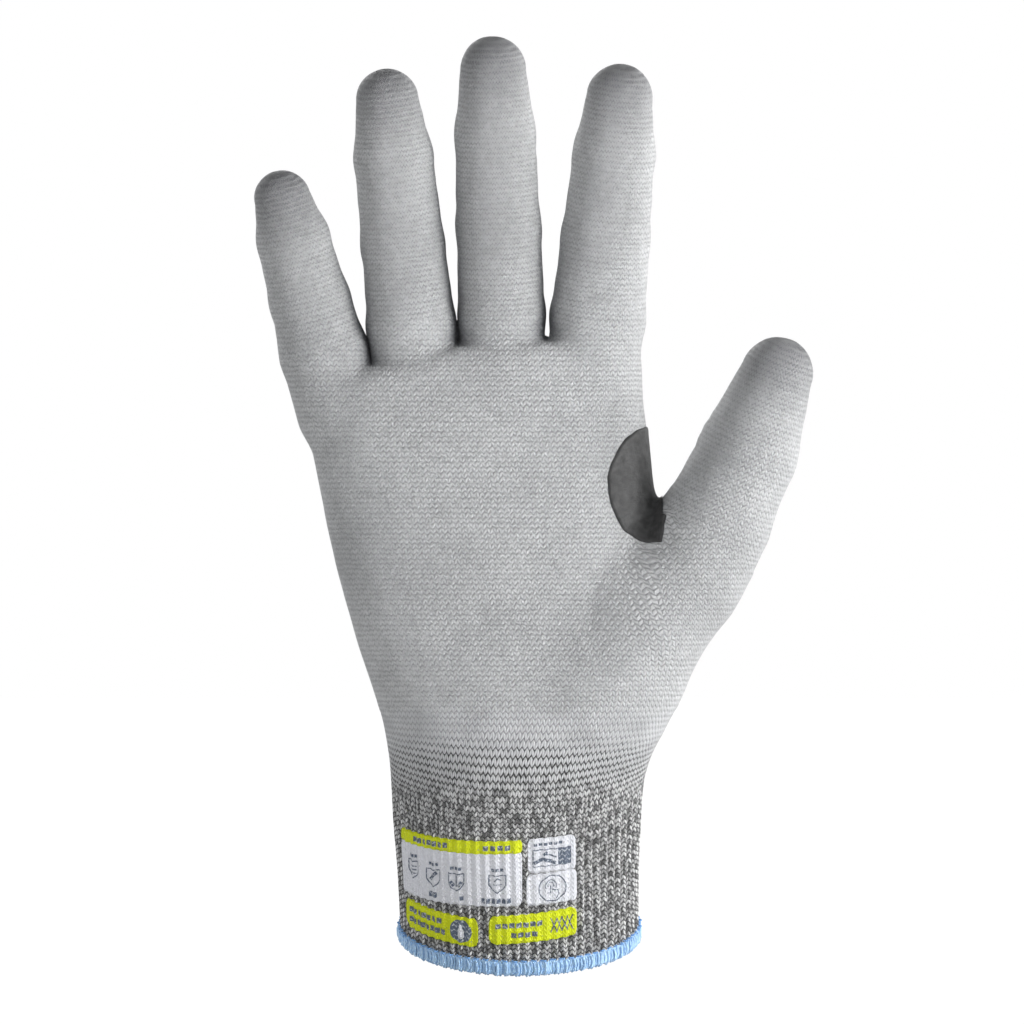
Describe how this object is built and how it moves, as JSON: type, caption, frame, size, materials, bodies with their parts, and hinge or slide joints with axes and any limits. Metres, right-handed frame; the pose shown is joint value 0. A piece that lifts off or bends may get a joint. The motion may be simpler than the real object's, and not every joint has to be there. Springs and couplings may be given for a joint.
{
  "type": "cut resistant glove",
  "caption": "Worn-shape right-hand work glove: coated seamless knit with segmented fingers and thumb, crotch patch, ribbed elastic cuff and overlocked hem.",
  "frame": {"origin": "centre of the cuff's hand opening, on the hem's lower edge", "axes": "+Z along the hand from the cuff to the fingertips, -Y out of the palm face, +X towards the thumb of this right-hand glove"},
  "size_m": [0.1509, 0.0667, 0.2507],
  "materials": {
    "grey_rib_knit": "salt and pepper rib knit",
    "grey_knit": "fine plain knit",
    "grey_coated_knit": "fine knit with a matt coat",
    "grey_pu_coat": "matt foamed polyurethane",
    "black_rubber_patch": "smooth nitrile, slight sheen",
    "hem_overlock_yarn": "fluffy overlock yarn",
    "hem_needle_thread": "twisted thread",
    "elastic_yarn": "covered elastic yarn",
    "white_print": "transfer film",
    "yellow_print": "transfer film"
  },
  "bodies": {
    "cuff": {"cuff_rib_knit": "grey_rib_knit", "cuff_hem_overlock": "hem_overlock_yarn", "cuff_hem_needle_thread": "hem_needle_thread", "cuff_elastic_yarns": "elastic_yarn", "rating_print_panel": "white_print", "rating_print_banner": "yellow_print", "impact_print_panel": "white_print", "touch_print_panel": "white_print", "material_print_panel": "yellow_print", "fibre_print_panel": "yellow_print", "wrist_fold_sleeve": "grey_knit"},
    "palm": {"palm_knit": "grey_knit", "palm_coating": "grey_pu_coat", "thumb_crotch_patch": "black_rubber_patch", "little_mcp_fold_sleeve": "grey_coated_knit", "ring_mcp_fold_sleeve": "grey_coated_knit", "middle_mcp_fold_sleeve": "grey_coated_knit", "index_mcp_fold_sleeve": "grey_coated_knit", "thumb_mcp_fold_sleeve": "grey_coated_knit"},
    "little_proximal": {"little_proximal_knit": "grey_knit", "little_proximal_coating": "grey_pu_coat", "little_pip_fold_sleeve": "grey_coated_knit"},
    "little_middle": {"little_middle_knit": "grey_knit", "little_middle_coating": "grey_pu_coat", "little_dip_fold_sleeve": "grey_coated_knit"},
    "little_distal": {"little_distal_knit": "grey_knit", "little_distal_coating": "grey_pu_coat"},
    "ring_proximal": {"ring_proximal_knit": "grey_knit", "ring_proximal_coating": "grey_pu_coat", "ring_pip_fold_sleeve": "grey_coated_knit"},
    "ring_middle": {"ring_middle_knit": "grey_knit", "ring_middle_coating": "grey_pu_coat", "ring_dip_fold_sleeve": "grey_coated_knit"},
    "ring_distal": {"ring_distal_knit": "grey_knit", "ring_distal_coating": "grey_pu_coat"},
    "middle_proximal": {"middle_proximal_knit": "grey_knit", "middle_proximal_coating": "grey_pu_coat", "middle_pip_fold_sleeve": "grey_coated_knit"},
    "middle_middle": {"middle_middle_knit": "grey_knit", "middle_middle_coating": "grey_pu_coat", "middle_dip_fold_sleeve": "grey_coated_knit"},
    "middle_distal": {"middle_distal_knit": "grey_knit", "middle_distal_coating": "grey_pu_coat"},
    "index_proximal": {"index_proximal_knit": "grey_knit", "index_proximal_coating": "grey_pu_coat", "index_pip_fold_sleeve": "grey_coated_knit"},
    "index_middle": {"index_middle_knit": "grey_knit", "index_middle_coating": "grey_pu_coat", "index_dip_fold_sleeve": "grey_coated_knit"},
    "index_distal": {"index_distal_knit": "grey_knit", "index_distal_coating": "grey_pu_coat"},
    "thumb_proximal": {"thumb_proximal_knit": "grey_knit", "thumb_proximal_coating": "grey_pu_coat", "thumb_ip_fold_sleeve": "grey_coated_knit"},
    "thumb_distal": {"thumb_distal_knit": "grey_knit", "thumb_distal_coating": "grey_pu_coat"}
  },
  "joints": [
    {"name": "wrist_flex", "type": "hinge", "parent": "cuff", "child": "palm", "pos_m": [0, -0.02196, 0.04933], "axis": [1, 0, 0], "range_deg": [-25, 60], "deforming": ["wrist_fold_sleeve"]},
    {"name": "little_mcp_flex", "type": "hinge", "parent": "palm", "child": "little_proximal", "pos_m": [-0.05217, -0.02578, 0.15654], "axis": [0.965, 0, 0.2622], "range_deg": [-15, 65], "deforming": ["little_mcp_fold_sleeve"]},
    {"name": "little_pip_flex", "type": "hinge", "parent": "little_proximal", "child": "little_middle", "pos_m": [-0.05588, -0.02619, 0.1702], "axis": [0.965, 0, 0.2622], "range_deg": [-6, 75], "deforming": ["little_pip_fold_sleeve"]},
    {"name": "little_dip_flex", "type": "hinge", "parent": "little_middle", "child": "little_distal", "pos_m": [-0.06011, -0.0284, 0.18578], "axis": [0.965, 0, 0.2622], "range_deg": [-8, 40], "deforming": ["little_dip_fold_sleeve"]},
    {"name": "ring_mcp_flex", "type": "hinge", "parent": "palm", "child": "ring_proximal", "pos_m": [-0.02879, -0.02585, 0.16373], "axis": [0.9942, 0, 0.108], "range_deg": [-15, 65], "deforming": ["ring_mcp_fold_sleeve"]},
    {"name": "ring_pip_flex", "type": "hinge", "parent": "ring_proximal", "child": "ring_middle", "pos_m": [-0.03106, -0.02668, 0.18464], "axis": [0.9942, 0, 0.108], "range_deg": [-6, 75], "deforming": ["ring_pip_fold_sleeve"]},
    {"name": "ring_dip_flex", "type": "hinge", "parent": "ring_middle", "child": "ring_distal", "pos_m": [-0.03356, -0.03011, 0.20761], "axis": [0.9942, 0, 0.108], "range_deg": [-8, 40], "deforming": ["ring_dip_fold_sleeve"]},
    {"name": "middle_mcp_flex", "type": "hinge", "parent": "palm", "child": "middle_proximal", "pos_m": [-0.00486, -0.02578, 0.16589], "axis": [0.9994, 0, 0.0349], "range_deg": [-15, 65], "deforming": ["middle_mcp_fold_sleeve"]},
    {"name": "middle_pip_flex", "type": "hinge", "parent": "middle_proximal", "child": "middle_middle", "pos_m": [-0.00568, -0.02687, 0.18949], "axis": [0.9994, 0, 0.0349], "range_deg": [-6, 75], "deforming": ["middle_pip_fold_sleeve"]},
    {"name": "middle_dip_flex", "type": "hinge", "parent": "middle_middle", "child": "middle_distal", "pos_m": [-0.00654, -0.03054, 0.21405], "axis": [0.9994, 0, 0.0349], "range_deg": [-8, 40], "deforming": ["middle_dip_fold_sleeve"]},
    {"name": "index_mcp_flex", "type": "hinge", "parent": "palm", "child": "index_proximal", "pos_m": [0.02068, -0.02612, 0.16541], "axis": [0.9951, 0, -0.0993], "range_deg": [-15, 65], "deforming": ["index_mcp_fold_sleeve"]},
    {"name": "index_pip_flex", "type": "hinge", "parent": "index_proximal", "child": "index_middle", "pos_m": [0.02278, -0.02692, 0.18651], "axis": [0.9951, 0, -0.0993], "range_deg": [-6, 75], "deforming": ["index_pip_fold_sleeve"]},
    {"name": "index_dip_flex", "type": "hinge", "parent": "index_middle", "child": "index_distal", "pos_m": [0.02498, -0.0301, 0.20852], "axis": [0.9951, 0, -0.0993], "range_deg": [-8, 40], "deforming": ["index_dip_fold_sleeve"]},
    {"name": "thumb_mcp_flex", "type": "hinge", "parent": "palm", "child": "thumb_proximal", "pos_m": [0.0494, -0.03115, 0.11433], "axis": [0.5702, -0.766, -0.2968], "range_deg": [-15, 30], "deforming": ["thumb_mcp_fold_sleeve", "thumb_crotch_patch"]},
    {"name": "thumb_ip_flex", "type": "hinge", "parent": "thumb_proximal", "child": "thumb_distal", "pos_m": [0.05731, -0.03178, 0.13116], "axis": [0.5702, -0.766, -0.2968], "range_deg": [-10, 40], "deforming": ["thumb_ip_fold_sleeve"]}
  ]
}
